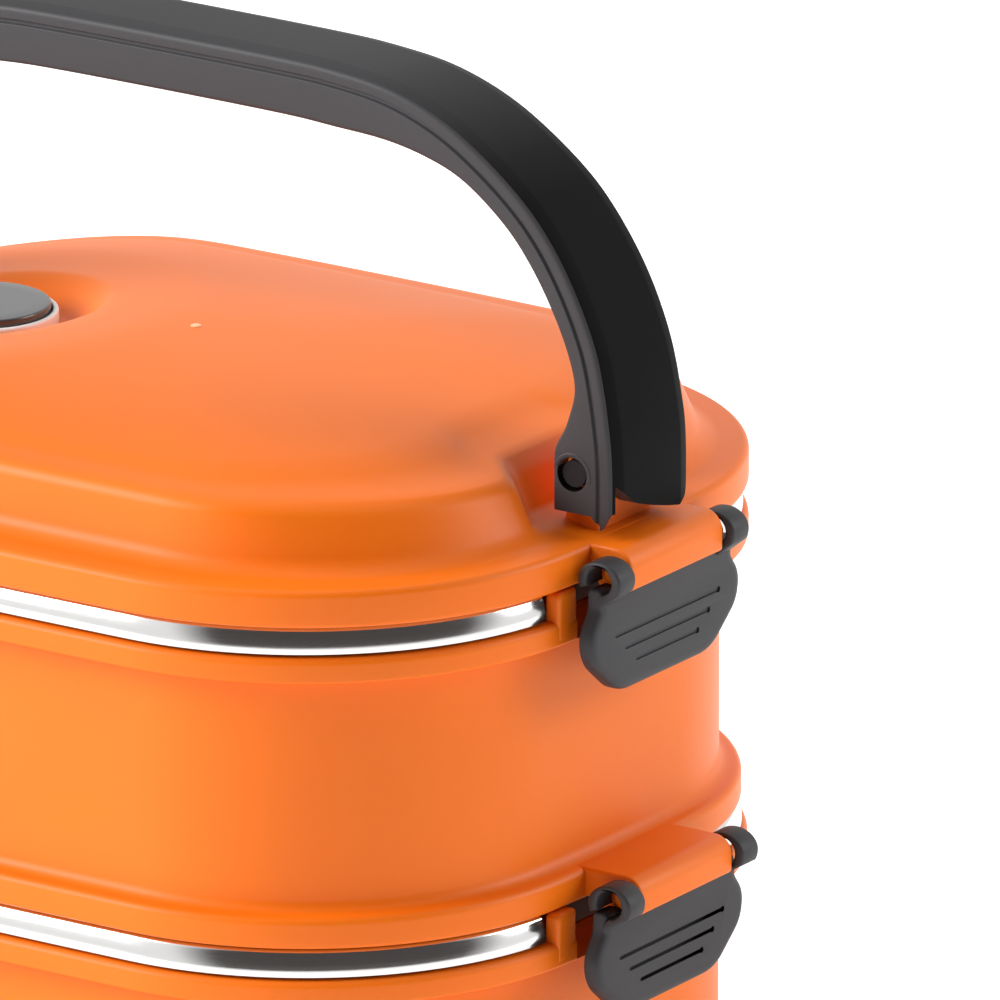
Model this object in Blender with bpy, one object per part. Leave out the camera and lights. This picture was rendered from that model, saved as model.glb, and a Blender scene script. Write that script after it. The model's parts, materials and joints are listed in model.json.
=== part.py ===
"""Stacking lunch carrier: two oval food tiers, a domed lid, four snap latches and a carrying handle."""
import math

import bmesh
import bpy

MM = 0.001

# ---- driving dimensions, millimetres ----------------------------------------
HALF_LEN = 72.05        # plan outline, half length of the lid skirt
HALF_WID = 57.9         # plan outline, half width of the lid skirt
CORNER_R = 43.7         # plan outline, corner radius
SIDE_BOW = 1.9          # how far the long sides bulge
END_BOW = 5.9           # how far the short ends bulge
PITCH = 45.0            # height of one tier
GAP = 0.3               # gap left between touching pieces
WALL_IN = 3.9           # inset of the tier wall behind the rim
SHELL_T = 1.6           # tier wall thickness
LID_Z = 2.0 * PITCH     # underside of the lid skirt
DOME_IN = 6.4           # inset of the dome's foot behind the skirt
CREST_Z = 14.4          # dome edge height above the skirt underside
CREST_DROP = 1.2        # how much lower the dome edge is at the two ends
TOP_Z = 19.9            # dome centre height above the skirt underside
DOME_DRAFT = 4.4        # how far the dome edge is set back from the dome's foot
HANDLE_T = 2.6          # handle strap thickness
FLANGE_T = 2.3          # handle side flange thickness
FOOT_HALF = 9.2         # half width of the handle at its feet
PIN_X = HALF_LEN - 4.6  # handle pin distance from the middle
PIN_Z = 13.3            # handle pin height above the skirt underside
PIN_R = 1.9             # handle pin radius
AXLE_X = HALF_LEN + 4.0     # latch hinge distance from the middle
AXLE_Z = 1.6            # latch hinge height above the tab's own base level
AXLE_R = 1.4            # latch hinge stub radius
TAB_HALF = 11.0         # half width of the latch tab
HOOK_IN = 11.6          # hook starts this far from the middle
HOOK_OUT = 15.6         # hook ends this far from the middle
HOOK_R = 3.3            # hook outside radius
FLAP_HALF = 18.0        # half width of the latch flap
FLAP_BOTTOM = -15.0     # flap lower edge relative to the hinge tab base level
FLAP_T = 2.3            # flap thickness
FLAP_X = HALF_LEN + 2.2     # flap inner face
TIER_OUTSET = 1.7       # the tier's own tab and latch stand this much further out
POST_IN = 13.4          # catch post starts this far from the middle
POST_OUT = 18.2         # catch post ends this far from the middle
KNOB_X = -35.7          # vent knob centre, off towards one end
VALVE_R = 10.5          # vent knob collar radius
CAP_R = 9.2             # vent knob cap radius
DISH_R = 17.6           # dished recess radius round the vent knob
DISH_Z = 13.1           # dish floor height above the skirt underside
KNOB_Z = 16.5           # vent knob collar height above the skirt underside

# (inset, height) down the outside of a tier, then back up its inside
TIER_OUT = ((1.6, 0.0), (0.8, 0.8), (0.8, 3.6), (1.5, 4.3), (3.9, 6.8), (3.9, 37.1),
            (0.6, 37.5), (0.0, 38.2), (0.0, 40.0), (0.6, 40.6))
# (inset, height) round one tray: rolled rim, inside wall, floor, outside wall
TRAY = ((1.2, 41.0), (0.8, 41.8), (0.8, 43.9), (1.4, 44.7), (4.6, 44.7), (6.4, 43.6),
        (7.3, 41.6), (8.3, 9.0), (12.0, 5.2))
# handle: distance from the middle, height, depth of the side flange, half width
STRAP = ((0.0, 63.1, 8.3, 7.7), (20.0, 63.0, 8.3, 7.7), (28.6, 62.6, 8.3, 7.7), (37.2, 61.5, 7.7, 7.8),
         (45.3, 58.8, 6.6, 8.0), (52.1, 55.0, 5.5, 8.2), (59.2, 49.6, 5.3, 8.4), (64.1, 44.1, 5.3, 8.5),
         (68.2, 37.6, 5.2, 8.7), (71.1, 31.1, 5.1, 8.8), (72.5, 26.0, 5.2, 9.0), (73.3, 21.6, 7.0, 9.1),
         (73.9, 17.4, 9.4, 9.2), (74.1, 12.0, 9.8, 9.2), (74.0, 6.1, 9.7, 9.2))



# ---- scene helpers ----------------------------------------------------------
def clear_scene():
    for ob in list(bpy.data.objects):
        bpy.data.objects.remove(ob, do_unlink=True)


def material(name, colour, roughness, metallic):
    mat = bpy.data.materials.new(name)
    mat.use_nodes = True
    bsdf = mat.node_tree.nodes["Principled BSDF"]
    bsdf.inputs["Base Color"].default_value = (colour[0], colour[1], colour[2], 1.0)
    bsdf.inputs["Roughness"].default_value = roughness
    bsdf.inputs["Metallic"].default_value = metallic
    mat.diffuse_color = (colour[0], colour[1], colour[2], 1.0)
    return mat


def make_mesh(name, verts, faces):
    """Mesh from millimetre points; its faces are turned to point outwards."""
    bm = bmesh.new()
    made = [bm.verts.new((p[0] * MM, p[1] * MM, p[2] * MM)) for p in verts]
    for face in faces:
        bm.faces.new([made[i] for i in face])
    bmesh.ops.recalc_face_normals(bm, faces=bm.faces[:])
    mesh = bpy.data.meshes.new(name)
    bm.to_mesh(mesh)
    bm.free()
    return mesh


def add_object(name, mesh, mat, location=(0.0, 0.0, 0.0)):
    """Object whose origin is at location; the mesh is shifted so it does not move."""
    ob = bpy.data.objects.new(name, mesh)
    bpy.context.scene.collection.objects.link(ob)
    if mat is not None:
        mesh.materials.append(mat)
    for vert in mesh.vertices:
        vert.co.x -= location[0] * MM
        vert.co.y -= location[1] * MM
        vert.co.z -= location[2] * MM
    ob.location = (location[0] * MM, location[1] * MM, location[2] * MM)
    for poly in mesh.polygons:
        poly.use_smooth = True
    mesh.set_sharp_from_angle(angle=math.radians(32.0))
    return ob


def boolean(ob, other, operation):
    """Apply a union or difference with a hidden tool object."""
    mod = ob.modifiers.new(operation.lower(), 'BOOLEAN')
    mod.operation = operation
    mod.solver = 'EXACT'
    mod.object = other
    other.hide_render = True
    other.display_type = 'WIRE'


# ---- plan outline -----------------------------------------------------------
def corner_centre():
    """Centre of the corner arc that is tangent to the bowed end and the bowed side."""
    end_r = HALF_WID ** 2 / (2.0 * END_BOW) + END_BOW / 2.0
    side_r = HALF_LEN ** 2 / (2.0 * SIDE_BOW) + SIDE_BOW / 2.0
    x = HALF_LEN - CORNER_R
    y = HALF_WID - CORNER_R
    for _ in range(40):
        d1 = math.hypot(x - (HALF_LEN - end_r), y)
        d2 = math.hypot(x, y - (HALF_WID - side_r))
        e1 = d1 - (end_r - CORNER_R)
        e2 = d2 - (side_r - CORNER_R)
        a, b = (x - (HALF_LEN - end_r)) / d1, y / d1
        c, d = x / d2, (y - (HALF_WID - side_r)) / d2
        det = a * d - b * c
        x -= (e1 * d - e2 * b) / det
        y -= (e2 * a - e1 * c) / det
    return x, y, end_r, side_r


CORNER = corner_centre()


def quarter(inset_of):
    """Quarter outline from the end's middle to the side's middle, pulled in by inset_of(angle)."""
    cx, cy, end_r, side_r = CORNER
    a1 = math.atan2(cy, cx - (HALF_LEN - end_r))
    a2 = math.atan2(cy - (HALF_WID - side_r), cx)
    angles = [(0.0, 0), (a1, 0)]
    angles += [(a1 + (a2 - a1) * k / 8.0, 1) for k in range(1, 9)]
    angles += [(a2 + (math.pi / 2.0 - a2) * k / 4.0, 2) for k in range(1, 5)]
    points = []
    for angle, part in angles:
        centre = ((HALF_LEN - end_r, 0.0, end_r), (cx, cy, CORNER_R), (0.0, HALF_WID - side_r, side_r))[part]
        radius = centre[2] - inset_of(angle)
        points.append((centre[0] + radius * math.cos(angle), centre[1] + radius * math.sin(angle)))
    points[-1] = (0.0, points[-1][1])
    points[0] = (points[0][0], 0.0)
    return points


def outline(inset_of):
    """Closed plan outline, counter-clockwise, from a function of the outward angle."""
    q = quarter(inset_of)
    left = [(-x, y) for x, y in reversed(q)][1:]
    bottom = [(-x, -y) for x, y in q][1:]
    right = [(x, -y) for x, y in reversed(q)][1:-1]
    return q + left + bottom + right


def ring_at(inset, z):
    return [(x, y, z) for x, y in outline(lambda angle: inset)]


def dome_at(inset, z, drop=0.0):
    """Dome outline measured from its foot, set back slightly more along the sides, lower at the ends."""
    points = outline(lambda angle: DOME_IN + inset + 0.9 * math.sin(angle) ** 4)
    return [(x, y, z - drop * (x / HALF_LEN) ** 4) for x, y in points]


def scaled_at(factor, z):
    """Shrunken copy of the dome crest for the gently crowned top."""
    return [(x * factor, y * factor, z) for x, y, _ in dome_at(DOME_DRAFT, z)]


def crown(x, y):
    """Height of the dome's top surface above the skirt underside."""
    edge_x = HALF_LEN - DOME_IN - DOME_DRAFT
    edge_y = HALF_WID - DOME_IN - DOME_DRAFT - 0.9
    return TOP_Z - (TOP_Z - CREST_Z) * ((x / edge_x) ** 2 + (y / edge_y) ** 2)


def loft(loops, closed=False):
    """Verts and faces through loops of equal count; capped, or joined end to end when closed."""
    n = len(loops[0])
    verts = [p for loop in loops for p in loop]
    faces = []
    count = len(loops) if closed else len(loops) - 1
    for k in range(count):
        a = k * n
        b = ((k + 1) % len(loops)) * n
        for i in range(n):
            j = (i + 1) % n
            faces.append((a + i, a + j, b + j, b + i))
    if not closed:
        faces.append(tuple(range(n)))
        faces.append(tuple(range((len(loops) - 1) * n, len(loops) * n)))
    return verts, faces


def prism(polygon, axis, low, high):
    """Closed prism of a 2-D polygon; axis 'y' takes (x, z) points, axis 'x' takes (y, z) points."""
    def place(p, t):
        if axis == 'y':
            return (p[0], t, p[1])
        if axis == 'x':
            return (t, p[0], p[1])
        return (p[0], p[1], t)
    return loft([[place(p, low) for p in polygon], [place(p, high) for p in polygon]])


def arc(cx, cz, radius, start, end, steps):
    """Points on an arc, angles in degrees."""
    out = []
    for k in range(steps + 1):
        a = math.radians(start + (end - start) * k / steps)
        out.append((cx + radius * math.cos(a), cz + radius * math.sin(a)))
    return out


def lathe(profile, centre_x, steps):
    """Loops of a turned shape round an upright axis, from (radius, height) points."""
    return [[(centre_x + r * math.cos(2.0 * math.pi * i / steps), r * math.sin(2.0 * math.pi * i / steps), z)
             for i in range(steps)] for r, z in profile]


def circle(cx, cy, radius, steps):
    return arc(cx, cy, radius, 0.0, 360.0 * (steps - 1) / steps, steps - 1)


def tool(name, verts, faces):
    ob = add_object(name, make_mesh(name, verts, faces), None)
    return ob


# ---- latch tab, shared by the lid and the upper tier ------------------------
def tab_polygon(base_z, top_z, side, outset):
    """Side view of the tab that carries the latch hinge."""
    root = HALF_LEN - 2.4
    pts = [(root, base_z + 0.5), (HALF_LEN + 0.5, base_z + 0.5), (HALF_LEN + 0.8, base_z - 0.6)]
    pts += arc(HALF_LEN + 5.2 + outset, base_z + 0.4, 1.0, -90.0, 0.0, 3)
    pts += arc(HALF_LEN + 2.4 + outset, top_z - 3.8, 3.8, 0.0, 90.0, 6)
    pts += [(root, top_z)]
    return [(side * x, z) for x, z in pts]


def add_hinge_tabs(ob, base_z, top_z, outset, prefix):
    """Notches for the hooks, then the tab and its two axle stubs at each end."""
    for side, label in ((1.0, 'r'), (-1.0, 'l')):
        near, far = side * (HALF_LEN - 1.4), side * (HALF_LEN + 15.0)
        box = [(near, base_z - 2.0), (far, base_z - 2.0), (far, base_z + 7.0), (near, base_z + 7.0)]
        for sy, end in ((1.0, 'b'), (-1.0, 'f')):
            low, high = sorted((sy * TAB_HALF, sy * 16.4))
            v, f = prism(box, 'y', low, high)
            boolean(ob, tool(prefix + '_notch_' + label + end, v, f), 'DIFFERENCE')
        v, f = prism(tab_polygon(base_z, top_z, side, outset), 'y', -TAB_HALF - 0.02, TAB_HALF + 0.02)
        boolean(ob, tool(prefix + '_tab_' + label, v, f), 'UNION')
        v, f = prism(circle(side * (AXLE_X + outset), base_z + AXLE_Z, AXLE_R, 14), 'y', -15.9, 15.9)
        boolean(ob, tool(prefix + '_axle_' + label, v, f), 'UNION')


# ---- tiers ------------------------------------------------------------------
def build_tier(name, base_z, mat, hinged):
    """Moulded outer body of one tier, open at the top, with a recess underneath."""
    inner = WALL_IN + SHELL_T
    recess = 3.1 if hinged else 4.1
    loops = [ring_at(recess, base_z + 2.2), ring_at(recess, base_z)]
    loops += [ring_at(d, base_z + z) for d, z in TIER_OUT]
    loops += [ring_at(inner, base_z + 40.6), ring_at(inner, base_z + 9.0), ring_at(inner + 4.0, base_z + 3.6)]
    v, f = loft(loops)
    ob = add_object(name, make_mesh(name, v, f), mat)
    for side, label in ((1.0, 'r'), (-1.0, 'l')):
        for sy, end in ((1.0, 'b'), (-1.0, 'f')):
            # catch post that stands on the rim lip beside the latch
            near, far = side * (HALF_LEN - 2.7), side * (HALF_LEN - 0.6)
            post = [(near, base_z + 39.0), (far, base_z + 39.0), (far, base_z + 44.7), (near, base_z + 44.7)]
            low, high = sorted((sy * POST_IN, sy * POST_OUT))
            v, f = prism(post, 'y', low, high)
            boolean(ob, tool(name + '_post_' + label + end, v, f), 'UNION')
    if hinged:
        add_hinge_tabs(ob, base_z, base_z + 4.4, TIER_OUTSET, name)
    return ob


def build_liner(name, base_z, mat):
    """Steel tray with a rolled rim that rests on the tier's lip."""
    loops = [ring_at(d, base_z + z) for d, z in TRAY]
    loops += [ring_at(12.4, base_z + 4.2), ring_at(7.6, base_z + 8.4), ring_at(6.5, base_z + 40.2),
              ring_at(6.5, base_z + 41.0)]
    n = len(loops[0])
    floor_top = len(TRAY) - 1
    verts = [p for loop in loops for p in loop]
    faces = []
    total = len(loops)
    for k in range(total):
        if k == floor_top:
            continue
        nxt = (k + 1) % total
        for i in range(n):
            j = (i + 1) % n
            faces.append((k * n + i, k * n + j, nxt * n + j, nxt * n + i))
    faces.append(tuple(range(floor_top * n, floor_top * n + n)))
    faces.append(tuple(range((floor_top + 1) * n, (floor_top + 1) * n + n)))
    ob = add_object(name, make_mesh(name, verts, faces), mat)
    for side, label in ((1.0, 'r'), (-1.0, 'l')):
        # flat on the rolled rim that leaves room for the catch posts
        near, far = side * (HALF_LEN - 3.3), side * (HALF_LEN + 5.0)
        flat = [(near, base_z + 40.0), (far, base_z + 40.0), (far, base_z + 46.0), (near, base_z + 46.0)]
        v, f = prism(flat, 'y', -POST_OUT - 0.4, POST_OUT + 0.4)
        boolean(ob, tool(name + '_flat_' + label, v, f), 'DIFFERENCE')
    return ob


def build_plate(name, inset, low, high, mat, centre=(0.0, 0.0, 0.0)):
    """Flat closing plate that follows the plan outline."""
    loops = [ring_at(inset + 0.4, low), ring_at(inset, low + 0.4), ring_at(inset, high)]
    v, f = loft(loops)
    return add_object(name, make_mesh(name, v, f), mat, centre)


def build_seal(name, outer, inner, low, high, mat):
    loops = [ring_at(outer, low), ring_at(outer, high), ring_at(inner, high), ring_at(inner, low)]
    v, f = loft(loops, closed=True)
    return add_object(name, make_mesh(name, v, f), mat)


# ---- lid --------------------------------------------------------------------
def build_lid(mat):
    """Skirt, concave shoulder, low crowned dome, dish for the vent knob, and pockets for the handle feet."""
    z0 = LID_Z
    loops = [scaled_at(0.25, z0 + 17.4), scaled_at(0.60, z0 + 15.8), scaled_at(0.84, z0 + 13.9)]
    loops += [dome_at(5.6, z0 + 12.0, CREST_DROP), dome_at(3.7, z0 + 9.8, CREST_DROP), dome_at(1.9, z0 + 5.6)]
    loops += [dome_at(1.8, z0 + 2.3)]
    loops += [ring_at(3.4, z0 + 2.3), ring_at(3.4, z0), ring_at(0.7, z0), ring_at(0.0, z0 + 0.7)]
    loops += [ring_at(0.0, z0 + 4.4), ring_at(0.6, z0 + 5.1), ring_at(DOME_IN - 0.6, z0 + 5.5)]
    loops += [dome_at(0.0, z0 + 6.2), dome_at(1.3, z0 + 10.6, CREST_DROP), dome_at(2.4, z0 + 12.9, CREST_DROP)]
    loops += [dome_at(DOME_DRAFT, z0 + CREST_Z, CREST_DROP), scaled_at(0.86, z0 + 15.9), scaled_at(0.60, z0 + 17.9)]
    loops += [scaled_at(0.25, z0 + TOP_Z - 0.3)]
    v, f = loft(loops)
    ob = add_object('lid_shell', make_mesh('lid_shell', v, f), mat)
    # thick seat under the knob, then the dish and the vent hole
    seat = lathe(((DISH_R + 1.2, z0 + DISH_Z - 2.2), (DISH_R + 1.2, 0.0)), KNOB_X, 30)
    seat[1] = [(x, y, z0 + crown(x, y) - 1.0) for x, y, z in seat[1]]
    v, f = loft(seat)
    boolean(ob, tool('lid_seat', v, f), 'UNION')
    dish = ((VALVE_R + 1.0, z0 + DISH_Z), (13.6, z0 + DISH_Z + 1.0), (15.6, z0 + DISH_Z + 2.9),
            (DISH_R, z0 + DISH_Z + 5.6), (DISH_R + 0.6, z0 + DISH_Z + 9.0))
    v, f = loft(lathe(dish, KNOB_X, 40))
    boolean(ob, tool('lid_dish', v, f), 'DIFFERENCE')
    v, f = loft(lathe(((4.2, z0 + 8.0), (4.2, z0 + 18.0)), KNOB_X, 24))
    boolean(ob, tool('lid_vent', v, f), 'DIFFERENCE')
    for side, label in ((1.0, 'r'), (-1.0, 'l')):
        # solid block inside the dome end, so the pocket does not break through
        near, far = side * (HALF_LEN - 17.0), side * (HALF_LEN - 8.4)
        block = [(near, z0 + 3.4), (far, z0 + 3.4), (far, z0 + 10.2), (near, z0 + 10.2)]
        v, f = prism(block, 'y', -15.0, 15.0)
        boolean(ob, tool('lid_block_' + label, v, f), 'UNION')
        near, far = side * (HALF_LEN - 8.9), side * (HALF_LEN + 20.0)
        pocket = [(near, z0 + 5.7), (far, z0 + 5.7), (far, z0 + 30.0), (near - side * 0.8, z0 + 30.0)]
        v, f = prism(pocket, 'y', -FOOT_HALF - 1.4, FOOT_HALF + 1.4)
        boolean(ob, tool('lid_pocket_' + label, v, f), 'DIFFERENCE')
        boss = [(side * (HALF_LEN - 11.2), z0 + 4.6), (side * (PIN_X + 2.4), z0 + 4.6)]
        boss += [(side * x, z) for x, z in arc(PIN_X - 0.6, z0 + PIN_Z, 3.0, 0.0, 90.0, 6)]
        boss += [(side * (HALF_LEN - 7.2), z0 + PIN_Z + 3.0), (side * (HALF_LEN - 7.8), z0 + PIN_Z - 0.8)]
        boss += [(side * (HALF_LEN - 11.2), z0 + PIN_Z - 1.8)]
        half = FOOT_HALF - FLANGE_T - 0.4
        v, f = prism(boss, 'y', -half, half)
        boolean(ob, tool('lid_boss_' + label, v, f), 'UNION')
        v, f = prism(circle(side * PIN_X, z0 + PIN_Z, PIN_R + 0.3, 14), 'y', -20.0, 20.0)
        boolean(ob, tool('lid_bore_' + label, v, f), 'DIFFERENCE')
    add_hinge_tabs(ob, z0, z0 + 4.9, 0.0, 'lid')
    return ob


def build_valve(white, black, rubber):
    """Vent knob: collar, pressed-in cap, and the plug under it that closes the vent hole."""
    base = LID_Z + DISH_Z + GAP
    top = LID_Z + KNOB_Z
    profile = ((VALVE_R - 0.4, base), (VALVE_R, base + 0.4), (VALVE_R, top - 0.5), (VALVE_R - 0.5, top),
               (CAP_R + GAP, top), (CAP_R + GAP, base + 1.2))
    v, f = loft(lathe(profile, KNOB_X, 32))
    add_object('valve_collar', make_mesh('valve_collar', v, f), white, (KNOB_X, 0.0, base))
    v, f = loft(lathe(((CAP_R, base + 1.5), (CAP_R, top + 0.3), (CAP_R - 0.6, top + 0.7)), KNOB_X, 32))
    add_object('valve_cap', make_mesh('valve_cap', v, f), black, (KNOB_X, 0.0, base + 1.5))
    v, f = loft(lathe(((3.4, base - 3.6), (3.8, base - 3.0), (3.8, base - GAP)), KNOB_X, 18))
    add_object('valve_plug', make_mesh('valve_plug', v, f), rubber, (KNOB_X, 0.0, base - 3.6))


# ---- handle -----------------------------------------------------------------
def strap_stations(steps):
    """Smooth stations from foot to foot: x, height, flange depth, half width, and the outward normal."""
    full = [(-x, z, d, w) for x, z, d, w in reversed(STRAP)] + list(STRAP[1:])
    out = []
    for k in range(len(full) - 1):
        p0 = full[max(k - 1, 0)]
        p1 = full[k]
        p2 = full[k + 1]
        p3 = full[min(k + 2, len(full) - 1)]
        for s in range(steps):
            t = s / steps
            out.append(tuple(0.5 * (2 * p1[i] + (p2[i] - p0[i]) * t
                                    + (2 * p0[i] - 5 * p1[i] + 4 * p2[i] - p3[i]) * t * t
                                    + (3 * p1[i] - p0[i] - 3 * p2[i] + p3[i]) * t ** 3) for i in range(4)))
    out.append(full[-1])
    stations = []
    for k, (x, z, depth, half) in enumerate(out):
        xa, za = out[max(k - 1, 0)][:2]
        xb, zb = out[min(k + 1, len(out) - 1)][:2]
        length = math.hypot(xb - xa, zb - za)
        stations.append((x, z, depth, half, -(zb - za) / length, (xb - xa) / length))
    return stations


def build_handle(mat):
    """Channel-section strap: outer band with a side flange down each edge, lugs at the feet."""
    loops = []
    for x, z, depth, half, nx, nz in strap_stations(2):
        section = ((-half, -depth), (-half, -1.2), (-half + 1.2, -0.1), (0.0, 0.25), (half - 1.2, -0.1), (half, -1.2),
                   (half, -depth), (half - FLANGE_T, -depth), (half - FLANGE_T, -HANDLE_T),
                   (-half + FLANGE_T, -HANDLE_T), (-half + FLANGE_T, -depth))
        loops.append([(x + nx * t, y, LID_Z + z + nz * t) for y, t in section])
    v, f = loft(loops)
    ob = add_object('handle_frame', make_mesh('handle_frame', v, f), mat)
    for side, label in ((1.0, 'r'), (-1.0, 'l')):
        v, f = prism(circle(side * PIN_X, LID_Z + PIN_Z, PIN_R + 0.3, 14), 'y', -20.0, 20.0)
        boolean(ob, tool('handle_bore_' + label, v, f), 'DIFFERENCE')
        near, far = side * (PIN_X + 2.5), side * (HALF_LEN + 8.0)
        toe = [(near, LID_Z + 2.0), (far, LID_Z + 2.0), (far, LID_Z + 8.4), (near, LID_Z + 8.4)]
        v, f = prism(toe, 'y', -FOOT_HALF + FLANGE_T, FOOT_HALF - FLANGE_T)
        boolean(ob, tool('handle_toe_' + label, v, f), 'DIFFERENCE')
    return ob


def build_grip(mat):
    """Filler strip that closes the channel under the grip."""
    loops = []
    for x, z, depth, width, nx, nz in strap_stations(1):
        if abs(x) > HALF_LEN - 4.0:
            continue
        half = width - FLANGE_T - GAP
        low = -depth + 1.0
        top = -HANDLE_T - GAP
        section = ((-half, low), (-half, top), (half, top), (half, low))
        loops.append([(x + nx * t, y, LID_Z + z + nz * t) for y, t in section])
    v, f = loft(loops)
    return add_object('handle_filler', make_mesh('handle_filler', v, f), mat)


def build_pins(mat):
    for side, label in ((1.0, 'right'), (-1.0, 'left')):
        v, f = prism(circle(side * PIN_X, LID_Z + PIN_Z, PIN_R, 14), 'y', -FOOT_HALF + 0.6, FOOT_HALF - 0.6)
        add_object('handle_pin_' + label, make_mesh('handle_pin_' + label, v, f), mat, (side * PIN_X, 0.0, LID_Z + PIN_Z))


# ---- latches ----------------------------------------------------------------
def flap_polygon():
    """Front view of the flap: small shoulders, broad lower corners."""
    low = FLAP_BOTTOM
    pts = arc(FLAP_HALF - 8.0, low + 8.0, 8.0, -90.0, 0.0, 6)
    pts += arc(FLAP_HALF - 4.0, -5.4, 4.0, 0.0, 90.0, 4)
    return pts + [(-y, z) for y, z in reversed(pts)]


def hook_polygon(side, outset):
    """Side view of a C-shaped hook that clips over the axle stub and runs down into the flap."""
    outer = arc(AXLE_X, AXLE_Z, HOOK_R, 200.0, -30.0, 12)
    inner = arc(AXLE_X, AXLE_Z, AXLE_R + GAP, -60.0, 200.0, 12)
    back = FLAP_X - 0.5 * outset
    pts = outer + [(back + FLAP_T - 0.3, AXLE_Z - 4.0), (back + FLAP_T - 0.3, -6.0), (back + 0.3, -6.0),
                   (back + 0.3, AXLE_Z - 3.2)] + inner
    return [(side * (x + outset), z) for x, z in pts]


def build_latch(name, base_z, side, outset, mat):
    """Snap latch: flap with two hooks, three finger grooves on its face."""
    centre = (side * (AXLE_X + outset), 0.0, base_z + AXLE_Z)
    flap = [(y, base_z + z) for y, z in flap_polygon()]
    back = FLAP_X + 0.5 * outset
    low, high = sorted((side * back, side * (back + FLAP_T)))
    v, f = prism(flap, 'x', low, high)
    ob = add_object(name, make_mesh(name, v, f), mat, centre)
    for sy, end in ((1.0, 'b'), (-1.0, 'f')):
        hook = [(x, base_z + z) for x, z in hook_polygon(side, outset)]
        a, b = sorted((sy * HOOK_IN, sy * HOOK_OUT))
        v, f = prism(hook, 'y', a, b)
        boolean(ob, tool(name + '_hook_' + end, v, f), 'UNION')
    for k, half in enumerate((12.2, 9.8, 7.2)):
        z = base_z - 5.6 - 2.4 * k
        face = side * (back + FLAP_T)
        a, b = sorted((face - side * 0.5, face + side * 1.0))
        v, f = prism([(-half, z - 0.4), (half, z - 0.4), (half, z + 0.4), (-half, z + 0.4)], 'x', a, b)
        boolean(ob, tool(name + '_groove_%d' % k, v, f), 'DIFFERENCE')
    return ob


# ---- build ------------------------------------------------------------------
def build():
    clear_scene()
    orange_lid = material('orange_lid', (0.90, 0.20, 0.015), 0.38, 0.0)
    orange_tier = material('orange_tier', (0.90, 0.20, 0.015), 0.40, 0.0)
    steel = material('steel', (0.62, 0.61, 0.60), 0.16, 1.0)
    handle_mat = material('handle_plastic', (0.028, 0.028, 0.032), 0.42, 0.0)
    latch_mat = material('latch_plastic', (0.045, 0.045, 0.050), 0.45, 0.0)
    white = material('white_plastic', (0.80, 0.79, 0.77), 0.35, 0.0)
    black = material('black_gloss', (0.02, 0.02, 0.022), 0.12, 0.0)
    rubber = material('silicone', (0.55, 0.55, 0.53), 0.60, 0.0)
    build_tier('lower_shell', 0.0, orange_tier, False)
    build_plate('lower_base_plate', 4.5, 0.0, 1.9, orange_tier)
    build_liner('lower_liner', 0.0, steel)
    build_tier('upper_shell', PITCH, orange_tier, True)
    build_seal('upper_seal_ring', 3.5, 5.6, PITCH, PITCH + 1.9, rubber)
    build_plate('upper_base_plate', 5.9, PITCH, PITCH + 1.9, orange_tier)
    build_liner('upper_liner', PITCH, steel)
    build_lid(orange_lid)
    build_seal('lid_seal_ring', 3.7, 5.8, LID_Z, LID_Z + 2.0, rubber)
    build_plate('lid_inner_plate', 6.1, LID_Z, LID_Z + 2.0, white)
    build_valve(white, black, rubber)
    build_handle(handle_mat)
    build_grip(handle_mat)
    build_pins(handle_mat)
    for side, label in ((1.0, 'right'), (-1.0, 'left')):
        build_latch('latch_lid_' + label, LID_Z, side, 0.0, latch_mat)
        build_latch('latch_tier_' + label, PITCH, side, TIER_OUTSET, latch_mat)


build()
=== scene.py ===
import json
import math

import bmesh
import bpy
import numpy as np
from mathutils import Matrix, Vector


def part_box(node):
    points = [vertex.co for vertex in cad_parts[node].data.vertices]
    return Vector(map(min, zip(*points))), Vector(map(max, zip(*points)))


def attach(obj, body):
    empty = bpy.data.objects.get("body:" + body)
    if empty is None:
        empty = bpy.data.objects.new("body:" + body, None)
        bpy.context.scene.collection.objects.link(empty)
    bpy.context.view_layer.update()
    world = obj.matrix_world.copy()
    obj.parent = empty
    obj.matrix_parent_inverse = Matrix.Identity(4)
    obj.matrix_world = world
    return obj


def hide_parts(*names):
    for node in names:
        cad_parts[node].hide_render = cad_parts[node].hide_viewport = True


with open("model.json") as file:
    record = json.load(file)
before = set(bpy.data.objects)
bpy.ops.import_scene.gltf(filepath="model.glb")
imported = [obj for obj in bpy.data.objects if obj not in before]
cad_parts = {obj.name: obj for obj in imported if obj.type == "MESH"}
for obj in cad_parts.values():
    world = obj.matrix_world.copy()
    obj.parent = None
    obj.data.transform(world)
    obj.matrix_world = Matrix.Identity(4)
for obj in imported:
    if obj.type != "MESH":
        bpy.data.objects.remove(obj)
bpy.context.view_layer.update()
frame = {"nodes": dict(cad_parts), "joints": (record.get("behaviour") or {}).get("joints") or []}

MM = 0.001

# ---- dimensions read from the frame, in millimetres ---------------------------
shell_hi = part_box("lower_shell")[1]
A = shell_hi.x / MM                                 # half length of the rim outline
B = shell_hi.y / MM                                 # half width of the rim outline
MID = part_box("upper_seal_ring")[0].z / MM           # underside of the upper tier
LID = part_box("lid_seal_ring")[0].z / MM             # underside of the lid skirt
cap_lo, cap_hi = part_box("valve_cap")
KNOB_X = (cap_lo.x + cap_hi.x) / 2 / MM
pin_lo, pin_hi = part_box("handle_pin_right")
PIN_X = (pin_lo.x + pin_hi.x) / 2 / MM
PIN_Z = (pin_lo.z + pin_hi.z) / 2 / MM - LID
AXLE = {j["child"]: [c / MM for c in j["pos_m"]] for j in frame["joints"] if j["type"] == "hinge"}

# ---- dimensions chosen here, in millimetres -------------------------------------
# rim outline: corner radius, and how far the long sides and the ends bow out
CORNER_R = 43.7
SIDE_BOW = 1.9
END_BOW = 5.9
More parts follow.
